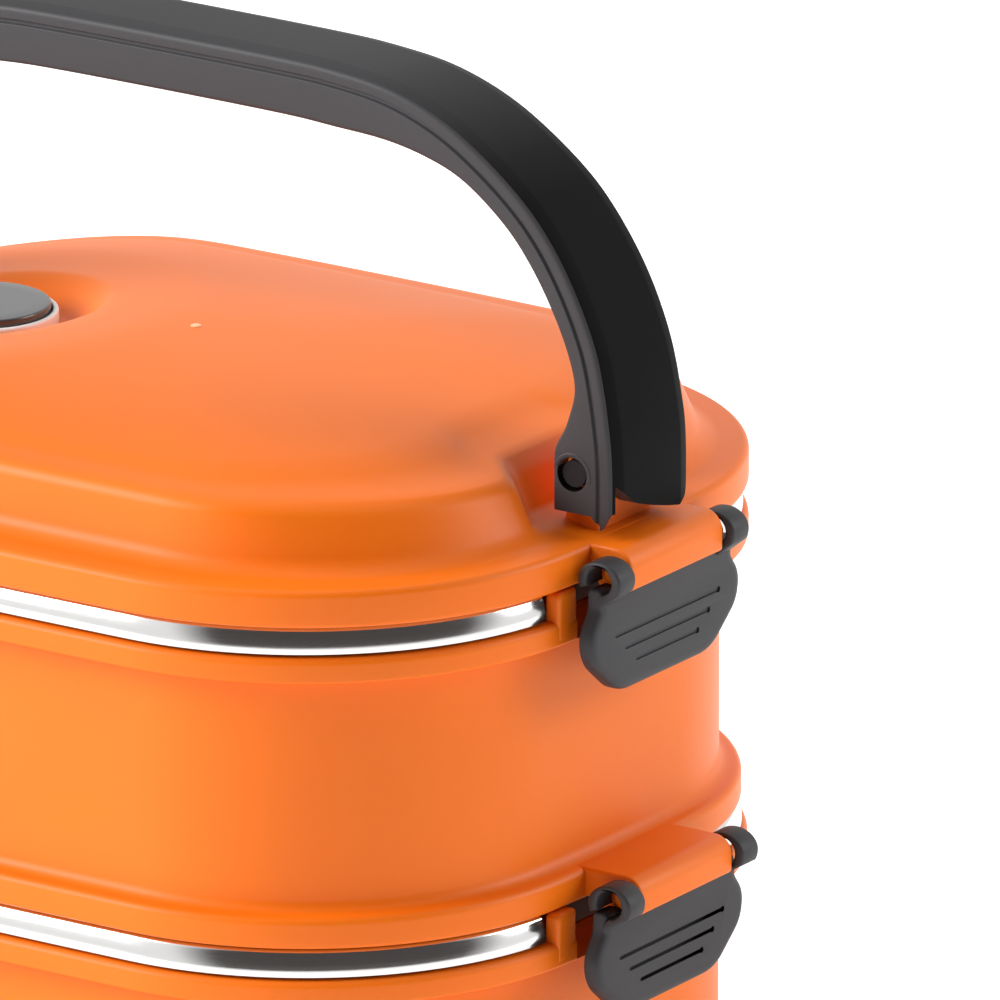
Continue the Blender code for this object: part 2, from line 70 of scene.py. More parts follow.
# lid; heights are above the underside of its skirt
DOME_IN = 6.4           # foot of the dome's wall, in from the rim outline
CREST_Z = 14.4          # edge between the dome's wall and its top
CREST_DROP = 1.2        # how much lower that edge is at the two ends
TOP_Z = 19.9            # middle of the dome
TOP_SINK = 0.9          # how far the top is sunk round the vent knob
LEAN_LEAST = 0.7        # how far the dome's wall leans in at its top, on the long sides
LEAN_MORE = 2.3         # extra lean at the ends
NICHE = 4.0             # depth of the recess in the dome's wall beside each handle foot
DISH_EDGE = 18.2        # radius where the top turns down into the dish
DISH_FLAT = 12.0        # radius of the dish's floor
DISH_Z = 13.1           # the dish's floor
STEM_R = 4.2            # hole in the dish's floor for the vent knob's plug
INSIDE_Z = 10.0         # underside of the dome
# vent knob
KNOB_Z = 16.5           # top of the collar is a little below this, the cap a little above
COLLAR_R = 10.5
CAP_R = 9.45
# tiers; heights are above the tier's underside
WALL_TOP = 37.3         # underside of the rim lip
LIP_TOP = 40.7          # top of the rim lip
POST_TOP = 44.75        # top of the catch posts and of the tray's rim
POST_IN = 13.9          # catch posts: nearer and further side, from the middle of the end
POST_OUT = 18.2
# hinge tabs and latches
TAB_HALF = 11.0         # half width of a hinge tab
AXLE_R = 1.4            # the stubs that the hooks turn on
AXLE_Z = 1.6            # axle above the underside of the lid or tier
STUB_END = 12.4         # end of a stub, from the middle of the tab
HOOK_IN = 11.6          # hooks: nearer and further side, from the middle of the latch
HOOK_OUT = 15.6
FLAP_THICK = 2.4
FLAP_TOP = -0.9         # below the underside of the lid or tier, as the groove heights are
GROOVES = (12.2, 9.8, 7.2)      # half lengths of the flap's three grooves, from the top
GROOVE_TOP = -6.7
GROOVE_STEP = 2.2
GROOVE_R = 0.28
GROOVE_DEEP = 0.22
DOT_R = 0.45            # round mark at one end of a groove
DOT_DEEP = 0.28
# handle
TOE_X = PIN_X + 3.1     # the outer band's end is cut further out than this, the heel nearer in
BORE_R = 2.35           # pin hole in each side flange
# stations of the handle: distance from the middle, height, depth of the side flange, half width
STRAP = ((0.0, 63.1, 8.3, 7.7), (20.0, 63.0, 8.3, 7.7), (28.6, 62.6, 8.3, 7.7), (37.2, 61.5, 7.7, 7.8),
         (45.3, 58.8, 6.6, 8.0), (52.1, 55.0, 5.5, 8.2), (59.2, 49.6, 5.3, 8.4), (64.1, 44.1, 5.3, 8.5),
         (68.2, 37.6, 5.2, 8.7), (71.1, 31.1, 5.1, 8.8), (72.5, 26.0, 5.2, 9.0), (73.3, 21.6, 7.0, 9.1),
         (73.9, 17.4, 9.4, 9.2), (74.1, 12.0, 9.8, 9.2), (74.0, 5.4, 9.7, 9.2))

# ---- looks ----------------------------------------------------------------------
# painted shading on the handle's outer band: its grey runs from dark at the lower height to light at the
# upper one
PAINTED_SHADE_START = 0.040      # metres above the underside of the lid
PAINTED_SHADE_END = 0.063
PAINTED_SHADE_GREYS = ((0.0, 0.006), (0.40, 0.009), (0.58, 0.016), (0.74, 0.030), (1.0, 0.055))
# the camera is fitted to the photograph's view: place, direction it looks in, focal length in mm
CAMERA_AT = Vector((1346.614, -1899.362, 738.632 + LID)) * MM
CAMERA_WAY = Vector((-0.5371867, 0.7866950, -0.3042062))
CAMERA_LENS = 650.11
FLOOR_GREY = 0.84
FLOOR_GLOW = 0.42
# the darker side of the studio, which the steel and the knob mirror
DARK_AZIMUTH = math.radians(-42)
DARK_RISE = 0.40
DARK_COLOUR = (0.08, 0.072, 0.07, 1.0)
DARK_BEGINS = 0.50      # cosine of the angle to that side
DARK_FULL = 0.70
LIGHTS_AIM = Vector((0, 0, 0.08))


# ---- materials ----------------------------------------------------------------
def node(mat, kind, **values):
    """New shader node; a value goes to its property or, with _ for a space, to its input."""
    n = mat.node_tree.nodes.new(kind)
    for key, value in values.items():
        if hasattr(n, key):
            setattr(n, key, value)
        else:
            n.inputs[key.replace("_", " ")].default_value = value
    return n


def shader(mat):
    return mat.node_tree.nodes["Principled BSDF"]


def gloss(mat, noise, low, high):
    """Roughness between low and high, following a noise node."""
    links = mat.node_tree.links
    span = node(mat, "ShaderNodeMapRange", To_Min=low, To_Max=high)
    links.new(noise.outputs["Fac"], span.inputs["Value"])
    links.new(span.outputs["Result"], shader(mat).inputs["Roughness"])


def relief(mat, noise, strength, distance):
    """Slight unevenness of the surface, following a noise node."""
    links = mat.node_tree.links
    bump = node(mat, "ShaderNodeBump", Strength=strength, Distance=distance)
    links.new(noise.outputs["Fac"], bump.inputs["Height"])
    links.new(bump.outputs["Normal"], shader(mat).inputs["Normal"])


def plastic(name, colour, rough, grain=900.0, bump=0.012, vary=0.05, mottle=0.03, specular=0.5):
    """Moulded plastic: fine surface grain, slightly uneven gloss and colour."""
    mat = bpy.data.materials.new(name)
    mat.use_nodes = True
    links = mat.node_tree.links
    shader(mat).inputs["Specular IOR Level"].default_value = specular
    where = node(mat, "ShaderNodeTexCoord")
    broad = node(mat, "ShaderNodeTexNoise", Scale=22.0, Detail=3.0)
    links.new(where.outputs["Object"], broad.inputs["Vector"])
    gloss(mat, broad, rough - vary, rough + vary)
    tint = node(mat, "ShaderNodeValToRGB")
    tint.color_ramp.elements[0].position = 0.3
    tint.color_ramp.elements[1].position = 0.7
    tint.color_ramp.elements[0].color = (*[c * (1.0 - mottle) for c in colour], 1.0)
    tint.color_ramp.elements[1].color = (*[min(1.0, c * (1.0 + mottle)) for c in colour], 1.0)
    links.new(broad.outputs["Fac"], tint.inputs["Fac"])
    links.new(tint.outputs["Color"], shader(mat).inputs["Base Color"])
    fine = node(mat, "ShaderNodeTexNoise", Scale=grain, Detail=2.0)
    links.new(where.outputs["Object"], fine.inputs["Vector"])
    relief(mat, fine, bump, 0.0004)
    return mat


def paint_band_shading(mat, base):
    """Painted shading by height above base: deep grey at the handle's feet, lighter towards the top of its
    arch, standing in for how the light falls on the band.
    """
    links = mat.node_tree.links
    where = node(mat, "ShaderNodeTexCoord")
    split = node(mat, "ShaderNodeSeparateXYZ")
    links.new(where.outputs["Object"], split.inputs["Vector"])
    height = node(mat, "ShaderNodeMapRange", From_Min=base + PAINTED_SHADE_START, From_Max=base + PAINTED_SHADE_END)
    links.new(split.outputs["Z"], height.inputs["Value"])
    ramp = node(mat, "ShaderNodeValToRGB")
    marks = ramp.color_ramp.elements
    while len(marks) < len(PAINTED_SHADE_GREYS):
        marks.new(0.5)
    for mark, (place, grey) in zip(marks, PAINTED_SHADE_GREYS):
        mark.position = place
        mark.color = (grey, grey * 0.98, grey * 1.02, 1.0)
    links.new(height.outputs["Result"], ramp.inputs["Fac"])
    links.new(ramp.outputs["Color"], shader(mat).inputs["Base Color"])


def metal(name, colour, rough):
    """Polished pressed steel with faint drawn lines round it."""
    mat = bpy.data.materials.new(name)
    mat.use_nodes = True
    links = mat.node_tree.links
    shader(mat).inputs["Base Color"].default_value = (*colour, 1.0)
    shader(mat).inputs["Metallic"].default_value = 1.0
    where = node(mat, "ShaderNodeTexCoord")
    stretch = node(mat, "ShaderNodeMapping")
    stretch.inputs["Scale"].default_value = (6.0, 6.0, 900.0)
    links.new(where.outputs["Object"], stretch.inputs["Vector"])
    lines = node(mat, "ShaderNodeTexNoise", Scale=4.0, Detail=4.0)
    links.new(stretch.outputs["Vector"], lines.inputs["Vector"])
    gloss(mat, lines, rough - 0.04, rough + 0.06)
    relief(mat, lines, 0.02, 0.0002)
    return mat


ORANGE = plastic("orange_moulded", (0.86, 0.165, 0.004), 0.42, specular=0.28)
STEEL = metal("steel_polished", (0.74, 0.73, 0.72), 0.13)
FRAME = plastic("charcoal_frame", (0.042, 0.040, 0.043), 0.46, bump=0.03, specular=0.25)
PIN = plastic("charcoal_pin", (0.010, 0.010, 0.011), 0.50, bump=0.03, specular=0.25)
BAND_PAINTED_SHADING = plastic("charcoal_band_painted_shading", (0.040, 0.039, 0.041), 0.50, bump=0.03, specular=0.03)
# painted shading: the band's grey darkens towards the feet and lightens towards the top of the arch, in place
# of light and shade
paint_band_shading(BAND_PAINTED_SHADING, LID * MM)
LATCH = plastic("charcoal_latch", (0.034, 0.033, 0.036), 0.50, bump=0.04, specular=0.3)
WHITE = plastic("white_moulded", (0.82, 0.80, 0.78), 0.34)
BLACK = plastic("black_polished", (0.070, 0.068, 0.069), 0.12, vary=0.02, bump=0.004)
# pale orange for the gate mark: a painted glint, lighter than the orange round it
GATE_PAINTED_GLINT = plastic("orange_painted_glint", (0.95, 0.50, 0.25), 0.35)
SILICONE = plastic("silicone_grey", (0.55, 0.55, 0.53), 0.60)


# ---- outlines -----------------------------------------------------------------
def fine_outline():
    """Points, outward normals and normal angles of the rim outline, counter-clockwise."""
    end_r = B ** 2 / (2.0 * END_BOW) + END_BOW / 2.0
    side_r = A ** 2 / (2.0 * SIDE_BOW) + SIDE_BOW / 2.0
    # centre of the corner arc, which touches the end arc and the side arc from inside
    x, y = A - CORNER_R, B - CORNER_R
    for _ in range(40):
        d1 = math.hypot(x - (A - end_r), y)
        d2 = math.hypot(x, y - (B - side_r))
        e1, e2 = d1 - (end_r - CORNER_R), d2 - (side_r - CORNER_R)
        a, b = (x - (A - end_r)) / d1, y / d1
        c, d = x / d2, (y - (B - side_r)) / d2
        det = a * d - b * c
        x -= (e1 * d - e2 * b) / det
        y -= (e2 * a - e1 * c) / det
    a1 = math.atan2(y, x - (A - end_r))
    a2 = math.atan2(y - (B - side_r), x)
    pts = []
    for t in np.linspace(0.0, a1, 15)[:-1]:
        pts.append((A - end_r + end_r * math.cos(t), end_r * math.sin(t), t))
    for t in np.linspace(a1, a2, 41)[:-1]:
        pts.append((x + CORNER_R * math.cos(t), y + CORNER_R * math.sin(t), t))
    for t in np.linspace(a2, math.pi / 2, 17):
        pts.append((side_r * math.cos(t), B - side_r + side_r * math.sin(t), t))
    q = np.array(pts)
    left = np.stack([-q[::-1, 0], q[::-1, 1], math.pi - q[::-1, 2]], 1)[1:]
    low = np.stack([-q[:, 0], -q[:, 1], math.pi + q[:, 2]], 1)[1:]
    right = np.stack([q[::-1, 0], -q[::-1, 1], -q[::-1, 2]], 1)[1:-1]
    full = np.concatenate([q, left, low, right])
    return full[:, :2], np.stack([np.cos(full[:, 2]), np.sin(full[:, 2])], 1)


RIM, NORMAL = fine_outline()
SIDE_PULL = 0.9 * NORMAL[:, 1] ** 4     # the dome is a little narrower along the long sides


def smooth(t):
    """0 below 0, 1 above 1, an eased step between."""
    t = np.clip(t, 0.0, 1.0)
    return t * t * (3.0 - 2.0 * t)


LEAN = LEAN_LEAST + LEAN_MORE * smooth((np.abs(NORMAL[:, 0]) - 0.20) / 0.6)


def ring(inset, z):
    """Rim outline pulled in by inset (a number or one per point) at height z."""
    xy = RIM - NORMAL * np.reshape(np.broadcast_to(inset, len(RIM)), (-1, 1))
    return np.column_stack([xy, np.broadcast_to(z, len(RIM))])


def rounded(points, steps=6):
    """Path through (a, b, radius) points with each corner rounded."""
    out = [points[0][:2]]
    for k in range(1, len(points) - 1):
        p, q, r = (np.array(points[i][:2], float) for i in (k - 1, k, k + 1))
        radius = points[k][2]
        u, v = p - q, r - q
        lu, lv = np.linalg.norm(u), np.linalg.norm(v)
        u, v = u / lu, v / lv
        half = math.acos(float(np.clip(u @ v, -1.0, 1.0))) / 2.0
        if radius <= 0.0 or half > 1.56:
            out.append(tuple(q))
            continue
        reach = min(radius / math.tan(half), 0.49 * lu, 0.49 * lv)
        radius = reach * math.tan(half)
        mid = (u + v) / np.linalg.norm(u + v)
        centre = q + mid * (radius / math.sin(half))
        s, e = q + u * reach - centre, q + v * reach - centre
        a0 = math.atan2(s[1], s[0])
        turn = (math.atan2(e[1], e[0]) - a0 + math.pi) % (2.0 * math.pi) - math.pi
        for i in range(steps + 1):
            t = a0 + turn * i / steps
            out.append((centre[0] + radius * math.cos(t), centre[1] + radius * math.sin(t)))
    out.append(points[-1][:2])
    return out


def arc(cx, cy, radius, start, end, steps):
    """Points along an arc; the angles are in degrees."""
    angles = np.radians(np.linspace(start, end, steps + 1))
    return [(cx + radius * math.cos(t), cy + radius * math.sin(t)) for t in angles]


# ---- mesh helpers ---------------------------------------------------------------
def skin(rows, closed=False):
    """Verts and faces through closed rows of equal length; unless closed, both ends get a cap."""
    n = len(rows[0])
    verts = [tuple(p) for row in rows for p in row]
    faces = []
    m = len(rows)
    for k in range(m if closed else m - 1):
        a, b = k * n, ((k + 1) % m) * n
        faces += [(a + i, a + (i + 1) % n, b + (i + 1) % n, b + i) for i in range(n)]
    if not closed:
        faces += [tuple(range(n)), tuple(range((m - 1) * n, m * n))]
    return verts, faces


def merged(*parts):
    """One shape out of several."""
    verts, faces = [], []
    for v, f in parts:
        base = len(verts)
        verts += v
        faces += [tuple(i + base for i in face) for face in f]
    return verts, faces


def lathe(profile, cx=0.0, steps=96):
    """Rows of a shape turned about the upright line at x = cx."""
    angles = [2 * math.pi * i / steps for i in range(steps)]
    return [[(cx + r * math.cos(t), r * math.sin(t), z) for t in angles] for r, z in profile]


def to_mesh(name, verts, faces, sharp=38.0):
    mesh = bpy.data.meshes.new(name)
    mesh.from_pydata([(x * MM, y * MM, z * MM) for x, y, z in verts], [], faces)
    bm = bmesh.new()
    bm.from_mesh(mesh)
    bmesh.ops.recalc_face_normals(bm, faces=bm.faces[:])
    bm.to_mesh(mesh)
    bm.free()
    shade(mesh, sharp)
    return mesh


def shade(mesh, sharp=38.0):
    for poly in mesh.polygons:
        poly.use_smooth = True
    mesh.set_sharp_from_angle(angle=math.radians(sharp))


def piece(name, shape, mats, body, nodes=(), sharp=38.0):
    """Visible piece that rides on a body and stands for the CAD nodes named."""
    ob = bpy.data.objects.new(name, to_mesh(name, shape[0], shape[1], sharp))
    bpy.context.scene.collection.objects.link(ob)
    for mat in mats:
        ob.data.materials.append(mat)
    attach(ob, body)
    if nodes:
        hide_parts(*nodes)
    return ob


def carve(ob, cutters, sharp=38.0):
    """Cut closed shapes out of a piece and keep the result as its mesh."""
    for verts, faces in cutters:
        tool = bpy.data.objects.new("cutter", to_mesh("cutter", verts, faces))
        bpy.context.scene.collection.objects.link(tool)
        mod = ob.modifiers.new("cut", "BOOLEAN")
        mod.operation = "DIFFERENCE"
        mod.solver = "EXACT"
        mod.object = tool
        graph = bpy.context.evaluated_depsgraph_get()
        mesh = bpy.data.meshes.new_from_object(ob.evaluated_get(graph))
        ob.modifiers.clear()
        ob.data = mesh
        bpy.data.objects.remove(tool)
    shade(ob.data, sharp)


def prism(polygon, axis, low, high, bevel=0.0, steps=3):
    """Closed prism of a 2-D outline: (x, z) points along axis y, (y, z) points along axis x.

    bevel rounds the rims of both end faces.
    """
    pts = np.array(polygon, float)
    prev, after = np.roll(pts, 1, 0), np.roll(pts, -1, 0)
    t1, t2 = pts - prev, after - pts
    t1 /= np.maximum(np.linalg.norm(t1, axis=1, keepdims=True), 1e-9)
    t2 /= np.maximum(np.linalg.norm(t2, axis=1, keepdims=True), 1e-9)
    area = 0.5 * np.sum(pts[:, 0] * after[:, 1] - after[:, 0] * pts[:, 1])
    n1 = np.stack([t1[:, 1], -t1[:, 0]], 1) * np.sign(area)
    n2 = np.stack([t2[:, 1], -t2[:, 0]], 1) * np.sign(area)
    push = n1 + n2
    push /= np.maximum((push * n1).sum(1, keepdims=True), 0.35)
    ends = []
    for k in range(steps + 1 if bevel else 1):
        turn = math.pi / 2 * k / steps
        ends.append((bevel * (1.0 - math.sin(turn)), bevel * (1.0 - math.cos(turn))))
    stations = [(low + d, i) for i, d in ends] + [(high - d, i) for i, d in reversed(ends)]
    rows = []
    for t, inset in stations:
        p = pts - push * inset
        if axis == "y":
            rows.append([(x, t, z) for x, z in p])
        else:
            rows.append([(t, y, z) for y, z in p])
    return skin(rows)


def flip_x(shape):
    """Mirror image of a shape at the other end of the carrier."""
    return [(-x, y, z) for x, y, z in shape[0]], shape[1]


def at_end(shape, sx):
    """The shape as built for the right end, or its mirror image for the left end."""
    return shape if sx > 0 else flip_x(shape)


# ---- tiers ----------------------------------------------------------------------
def end_zone(inner, outer):
    """1 at the two ends up to |y| = inner, falling to 0 at |y| = outer."""
    y = np.abs(RIM[:, 1])
    return np.where(np.abs(RIM[:, 0]) > A * 0.7, 1.0 - smooth((y - inner) / (outer - inner)), 0.0)


def tier(name, base, nodes, body, hinged):
    """Moulded tier: foot flange, concave fillet, wall, rim lip with catch posts at the ends."""
    path = rounded([(9.0, 3.6, 0), (3.3, 2.2, 0), (3.3, 0.0, 0.3), (0.85, 0.0, 0.8), (0.85, 4.25, 1.0),
                    (3.9, 4.6, 2.4), (3.9, WALL_TOP, 0.9), (0.0, WALL_TOP, 0.5), (0.0, LIP_TOP, 0.9),
                    (5.5, LIP_TOP, 0.4), (5.5, 9.0, 2.0), (9.0, 3.6, 0)])[:-1]
    # long stretches get extra points
    dense = []
    for p, q in zip(path, path[1:] + path[:1]):
        count = max(1, int(math.hypot(q[0] - p[0], q[1] - p[1]) / 6.0))
        dense += [(p[0] + (q[0] - p[0]) * i / count, p[1] + (q[1] - p[1]) * i / count) for i in range(count)]
    # the lip is cut back between the catch posts
    recess = end_zone(POST_IN - 0.6, POST_IN - 0.1)
    lip_z = 37.5
    rows = []
    for inset, z in dense:
        extra = 0.0
        if z > lip_z and inset < 3.3:
            extra = recess * (3.3 - inset) * smooth((z - lip_z) / 0.8)
        rows.append(ring(inset + extra, base + z))
    parts = [skin(rows, closed=True)]
    post_foot = 38.0
    middle = 0.5 * (POST_IN + POST_OUT)
    post = rounded([(middle, post_foot, 0), (POST_IN, post_foot, 0), (POST_IN, POST_TOP, 0.5),
                    (POST_OUT, POST_TOP, 0.9), (POST_OUT, post_foot, 0), (middle, post_foot, 0)], 4)[1:-1]
    post_x = A - 0.45
    for sx in (1.0, -1.0):
        for sy in (1.0, -1.0):
            poly = [(sy * y, base + z) for y, z in post]
            low, high = sorted((sx * (post_x - 2.4), sx * post_x))
            parts.append(prism(poly, "x", low, high, 0.6, 4))
        if hinged:
            parts += tab(base, 4.45, sx, AXLE["tier_latch_right"][0], 3.6)
    piece(name, merged(*parts), [ORANGE], body, nodes)


def tab(base, height, sx, axle_x, root_in):
    """Hinge tab with a rolled front, and the two axle stubs that stick out of its sides."""
    front = axle_x + 2.2
    root = A - root_in
    poly = rounded([(root - 1.0, base + 2.4, 0), (root - 1.0, base + 0.8, 0), (A + 0.4, base + 0.3, 0.6),
                    (A + 1.0, base - 0.75, 0.5), (front, base - 0.75, 0.7), (front, base + height, 4.1),
                    (root, base + height, 0), (root - 1.0, base + 2.4, 0)], 9)[:-1]
    shape = prism(poly, "y", -TAB_HALF, TAB_HALF, 0.45, 4)
    parts = [at_end(shape, sx)]
    for sy in (1.0, -1.0):
        stub = arc(axle_x, base + AXLE_Z, AXLE_R, 0.0, 345.0, 23)
        low, high = sorted((sy * (TAB_HALF - 1.0), sy * STUB_END))
        shape = prism(stub, "y", low, high, 0.35, 3)
        parts.append(at_end(shape, sx))
    return parts


def liner(name, node_name, base, body):
    """Pressed steel tray; its rolled rim is the bright band between the tiers."""
    seat = 40.95            # underside of the rim, just above the tier's lip
    bulge = 42.0            # height where the rim's curve changes
    path = [(3.0, seat, 0), (1.7, seat, 0.2)]
    for z in np.linspace(41.2, 44.4, 13):
        bend = 0.06 if z > bulge else 0.25
        path.append((0.8 + 0.17 * (z - bulge) + bend * (z - bulge) ** 2, z, 0))
    path += [(2.0, POST_TOP, 0.4), (4.8, POST_TOP, 0.6), (6.3, 43.9, 1.0), (7.1, 41.0, 2.0), (8.2, 9.2, 3.0),
             (12.0, 5.2, 1.0), (20.0, 5.2, 0)]
    # the rim is drawn back at the ends, as far along as the catch posts reach
    flat = end_zone(POST_OUT + 0.3, POST_OUT + 1.6)
    rows = [ring(20.0, base + 4.4), ring(12.2, base + 4.4), ring(7.4, base + 8.6), ring(6.6, base + 39.8),
            ring(6.6, base + seat), ring(4.2, base + seat)]
    for inset, z in rounded(path):
        extra = flat * max(0.0, 3.5 - inset) if z > 40.0 else 0.0
        rows.append(ring(inset + extra, base + z))
    piece(name, skin(rows), [STEEL], body, (node_name,))


tier("lower_tier_body", 0.0, ("lower_shell",), "lower_tier", False)
tier("upper_tier_body", MID, ("upper_shell",), "upper_tier", True)
liner("lower_liner_pan", "lower_liner", 0.0, "lower_tier")
liner("upper_liner_pan", "upper_liner", MID, "upper_tier")


# ---- lid ------------------------------------------------------------------------
# outline of the edge between the dome's wall and its top, as radius by angle
CREST = ring(DOME_IN + 1.4 + LEAN + SIDE_PULL, 0.0)
CREST_ANGLE = np.arctan2(CREST[:, 1], CREST[:, 0])
ORDER = np.argsort(CREST_ANGLE)
CREST_R = np.hypot(CREST[:, 0], CREST[:, 1])


def crown(x, y):
    """Height of the dome's top surface above the skirt underside."""
    reach = np.interp(np.arctan2(y, x), CREST_ANGLE[ORDER], CREST_R[ORDER], period=2.0 * math.pi)
    f = np.clip(np.hypot(x, y) / reach, 0.0, 1.0)
    return CREST_Z + (TOP_Z - CREST_Z) * (1.0 - f ** 2) - CREST_DROP * (np.abs(x) / A) ** 4


def top(x, y):
    """Height of the top surface: the crown, sunk a little round the vent knob."""
    r = np.hypot(x - KNOB_X, y)
    return crown(x, y) - TOP_SINK * (1.0 - smooth((r - 16.0) / 16.0)) * smooth((r - 4.0) / 6.0)


def build_lid():
    """Lid shell with its skirt, dome, dish, hinge tabs and the blocks that hold the handle's pins."""
    niche = end_zone(9.8, 16.5)
    path = rounded([(3.3, 0.0, 0), (0.0, 0.0, 0.7), (0.0, 5.05, 1.0), (DOME_IN - 0.4, 5.45, 2.8),
                    (DOME_IN + 0.6, CREST_Z - 0.2, 4.2), (DOME_IN + 4.0, CREST_Z + 0.4, 0)], 8)
    rows = [ring(8.2, LID + 2.3), ring(3.3, LID + 2.3)]
    for inset, z in path:
        dome = smooth((inset - 2.0) / 4.2)
        high = smooth((z - 6.0) / 7.0) if inset > 3.0 else 0.0
        pull = inset + dome * SIDE_PULL + niche * NICHE * (smooth((z - 5.3) / 2.0) if inset > 4.0 else 0.0)
        pull = pull + (LEAN - 0.6) * np.clip((z - 5.6) / 8.6, 0.0, 1.0) * (inset > 4.0)
        drop = high * CREST_DROP * (np.abs(RIM[:, 0]) / A) ** 4
        row = ring(pull, LID + z - drop)
        # where the niche pulls the edge in, the edge rises to the height the crown has there
        plain = ring(pull - niche * NICHE * (z > 7.3), 0.0)
        rise = crown(row[:, 0], row[:, 1]) - crown(plain[:, 0], plain[:, 1])
        row[:, 2] += rise * smooth((inset - DOME_IN - 0.4) / 2.6)
        rows.append(row)
    # the top, from the crest in to the dish round the knob
    edge = rows[-1]
    angle = np.arctan2(edge[:, 1], edge[:, 0] - KNOB_X)
    circle = np.stack([np.cos(angle), np.sin(angle)], 1)
    dish_edge = circle * DISH_EDGE + [KNOB_X, 0.0]
    for t in np.linspace(0.0, 1.0, 25)[1:]:
        away = (edge[:, :2] - plain[:, :2]) * (1.0 - smooth(t / 0.3))
        xy = plain[:, :2] * (1.0 - t) + dish_edge * t + away
        z = top(xy[:, 0], xy[:, 1])
        if t < 0.125:
            z = z * smooth(t * 8.0) + (edge[:, 2] - LID) * (1.0 - smooth(t * 8.0))
        rows.append(np.column_stack([xy, LID + z]))
    # the dish, from its edge down to its floor and the stem hole
    for k in range(1, 15):
        share = k / 14.0
        sunk = share ** 1.7 * (1.9 - 0.9 * share)
        xy = circle * (DISH_EDGE - (DISH_EDGE - DISH_FLAT) * k / 14.0) + [KNOB_X, 0.0]
        z = top(xy[:, 0], xy[:, 1])
        rows.append(np.column_stack([xy, LID + z - sunk * (z - DISH_Z)]))
    stem = circle * STEM_R + [KNOB_X, 0.0]
    for z in (DISH_Z, DISH_Z - 2.2):
        rows.append(np.column_stack([stem, np.full(len(stem), LID + z)]))
    # underside
    inner = ring(12.0 + 3.4 * niche, LID + INSIDE_Z)
    inside = [inner]
    for t in (0.12, 0.5, 1.0):
        xy = inner[:, :2] * (1.0 - t) + stem * t
        inside.append(np.column_stack([xy, np.full(len(xy), LID + INSIDE_Z + 0.9)]))
    rows = list(reversed(inside)) + rows
    parts = [skin(rows, closed=True)]
    boss_in = A - 7.6
    boss_out = PIN_X + 2.3
    boss_top = PIN_Z + 3.0
    boss = rounded([(boss_in, 5.0, 0), (boss_in, 4.6, 0), (boss_out, 4.6, 0.2), (boss_out, boss_top, 3.0),
                    (boss_in + 0.3, boss_top, 1.2), (boss_in, 5.0, 0)], 8)[:-1]
    shape = prism([(x, LID + z) for x, z in boss], "y", -6.4, 6.4, 0.4, 3)
    for sx in (1.0, -1.0):
        parts += tab(LID, 5.0, sx, AXLE["lid_latch_right"][0], 3.0)
        parts.append(at_end(shape, sx))
    piece("lid_body", merged(*parts), [ORANGE], "lid", ("lid_shell",))


build_lid()

# gate mark left by moulding, in the middle of the dome; its pale colour is a painted glint
gate_z = LID + TOP_Z
gate = [(0.3, gate_z - 0.6), (0.8, gate_z - 0.6), (0.75, gate_z + 0.08), (0.55, gate_z + 0.18),
        (0.3, gate_z + 0.18)]
piece("lid_gate_mark_painted_glint", skin(lathe(gate, 0.0, 32)), [GATE_PAINTED_GLINT], "lid")

# vent knob
base_z = LID + DISH_Z + 0.3
top_z = LID + KNOB_Z
collar = rounded([(CAP_R + 0.3, base_z + 0.6, 0), (COLLAR_R - 0.4, base_z, 0.3),
                  (COLLAR_R, base_z + 0.2, 0.3), (COLLAR_R, top_z - 0.2, 0.45),
                  (CAP_R + 0.25, top_z - 0.2, 0.25), (CAP_R + 0.25, base_z + 1.0, 0)], 5)
piece("knob_collar", skin(lathe(collar, KNOB_X)), [WHITE], "vent_knob", ("valve_collar",))
cap = rounded([(CAP_R - 0.5, base_z + 1.4, 0), (CAP_R, base_z + 1.4, 0.2), (CAP_R, top_z + 0.75, 0.35),
               (CAP_R - 2.6, top_z + 0.77, 0.6), (0.4, top_z + 0.79, 0)], 6)
piece("knob_cap", skin(lathe(cap, KNOB_X)), [BLACK], "vent_knob", ("valve_cap",))


# ---- handle ---------------------------------------------------------------------
def strap(steps):
    """Smooth stations from foot to foot: x, height, flange depth, half width, outward normal."""
    p = np.array([(-x, z, d, w) for x, z, d, w in reversed(STRAP)] + list(STRAP[1:]))
    out = []
    for k in range(len(p) - 1):
        p0, p1, p2, p3 = p[max(k - 1, 0)], p[k], p[k + 1], p[min(k + 2, len(p) - 1)]
        for s in range(steps):
            t = s / steps
            out.append(0.5 * (2 * p1 + (p2 - p0) * t + (2 * p0 - 5 * p1 + 4 * p2 - p3) * t * t
                              + (3 * p1 - p0 - 3 * p2 + p3) * t ** 3))
    out.append(p[-1])
    out = np.array(out)
    # even out the curve; the two outermost stations of each foot stay
    for _ in range(3):
        out[2:-2, :2] = (out[1:-3, :2] + 2 * out[2:-2, :2] + out[3:-1, :2]) / 4
    d = np.gradient(out[:, :2], axis=0)
    d /= np.linalg.norm(d, axis=1, keepdims=True)
    return [(*row, -t[1], t[0]) for row, t in zip(out, d)]


def band_section(w, depth):
    """Handle's section: crowned outer band, groove below each edge, two side flanges, open channel.

    w is half the width, depth the depth of the flanges.
    """
    half = rounded([(0.0, 0.25, 0), (w - 2.4, 0.12, 1.0), (w, -0.45, 0.9), (w, -2.1, 0.15),
                    (w - 0.45, -2.3, 0.1), (w - 0.45, -2.65, 0.1), (w - 0.05, -2.9, 0.15),
                    (w - 0.05, -depth, 0.7), (w - 2.3, -depth, 0.6), (w - 2.3, -2.6, 0.4), (0.0, -2.6, 0)], 4)
    left = [(-y, t) for y, t in reversed(half)][1:-1]
    return half + left


